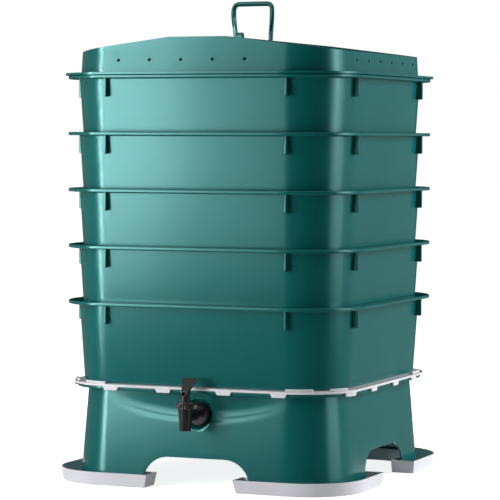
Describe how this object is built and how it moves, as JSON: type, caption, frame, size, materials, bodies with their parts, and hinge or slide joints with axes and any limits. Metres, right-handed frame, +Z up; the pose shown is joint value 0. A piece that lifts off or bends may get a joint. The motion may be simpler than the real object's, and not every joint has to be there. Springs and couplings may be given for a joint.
{
  "type": "stacking wormery",
  "caption": "Square stacking wormery: legged liquid collector with lever tap, drip screen, nesting perforated trays, gabled vented lid with bail handle, and corner foot saucers.",
  "frame": {"origin": "on the ground, under the middle of the whole part's bounding box", "axes": "+Z up, -Y towards the tap, +X to the right as seen from the tap's side"},
  "size_m": [0.4072, 0.4294, 0.6107],
  "materials": {
    "green_plastic": "satin moulded sea-green plastic with soft highlights",
    "white_plastic": "smooth cool white moulded plastic",
    "black_plastic": "satin near-black moulded plastic",
    "black_rubber": "matt black rubber"
  },
  "bodies": {
    "foot_saucers": {"foot_saucer_front_right": "white_plastic", "foot_saucer_back_right": "white_plastic", "foot_saucer_back_left": "white_plastic", "foot_saucer_front_left": "white_plastic"},
    "base": {"collector_base": "green_plastic", "tap_body": "black_plastic", "tap_collar": "black_plastic", "tap_outer_washer": "black_rubber", "tap_inner_washer": "black_rubber", "tap_lock_nut": "black_plastic"},
    "tap_stem": {"tap_stem": "black_plastic", "tap_seat_plug": "black_rubber", "tap_lever_pin": "black_plastic"},
    "tap_lever": {"tap_lever": "black_plastic"},
    "screen": {"drip_screen": "white_plastic"},
    "tray_1": {"working_tray_1": "green_plastic"},
    "tray_2": {"working_tray_2": "green_plastic"},
    "tray_3": {"working_tray_3": "green_plastic"},
    "tray_4": {"working_tray_4": "green_plastic"},
    "tray_5": {"working_tray_5": "green_plastic"},
    "lid": {"lid": "green_plastic"},
    "handle": {"lid_handle": "green_plastic"}
  },
  "joints": [
    {"name": "base_lift", "type": "slide", "parent": "foot_saucers", "child": "base", "axis": [0, 0, 1], "range_m": [0, 0.04]},
    {"name": "tap_stem_lift", "type": "slide", "parent": "base", "child": "tap_stem", "axis": [0, 0, 1], "range_m": [0, 0.0038]},
    {"name": "tap_lever_tilt", "type": "hinge", "parent": "tap_stem", "child": "tap_lever", "pos_m": [0, -0.20353, 0.1228], "axis": [1, 0, 0], "range_deg": [0, 45]},
    {"name": "screen_lift", "type": "slide", "parent": "base", "child": "screen", "axis": [0, 0, 1], "range_m": [0, 0.04]},
    {"name": "tray_1_lift", "type": "slide", "parent": "screen", "child": "tray_1", "axis": [0, 0, 1], "range_m": [0, 0.08]},
    {"name": "tray_2_lift", "type": "slide", "parent": "tray_1", "child": "tray_2", "axis": [0, 0, 1], "range_m": [0, 0.08]},
    {"name": "tray_3_lift", "type": "slide", "parent": "tray_2", "child": "tray_3", "axis": [0, 0, 1], "range_m": [0, 0.08]},
    {"name": "tray_4_lift", "type": "slide", "parent": "tray_3", "child": "tray_4", "axis": [0, 0, 1], "range_m": [0, 0.08]},
    {"name": "tray_5_lift", "type": "slide", "parent": "tray_4", "child": "tray_5", "axis": [0, 0, 1], "range_m": [0, 0.08]},
    {"name": "lid_lift", "type": "slide", "parent": "tray_5", "child": "lid", "axis": [0, 0, 1], "range_m": [0, 0.06]},
    {"name": "handle_fold", "type": "hinge", "parent": "lid", "child": "handle", "pos_m": [0, 0.01107, 0.5667], "axis": [1, 0, 0], "range_deg": [-90, 90]}
  ],
  "couplings": [
    {"joint": "tap_stem_lift", "follows": "tap_lever_tilt", "m_per_rad": 0.0045}
  ]
}
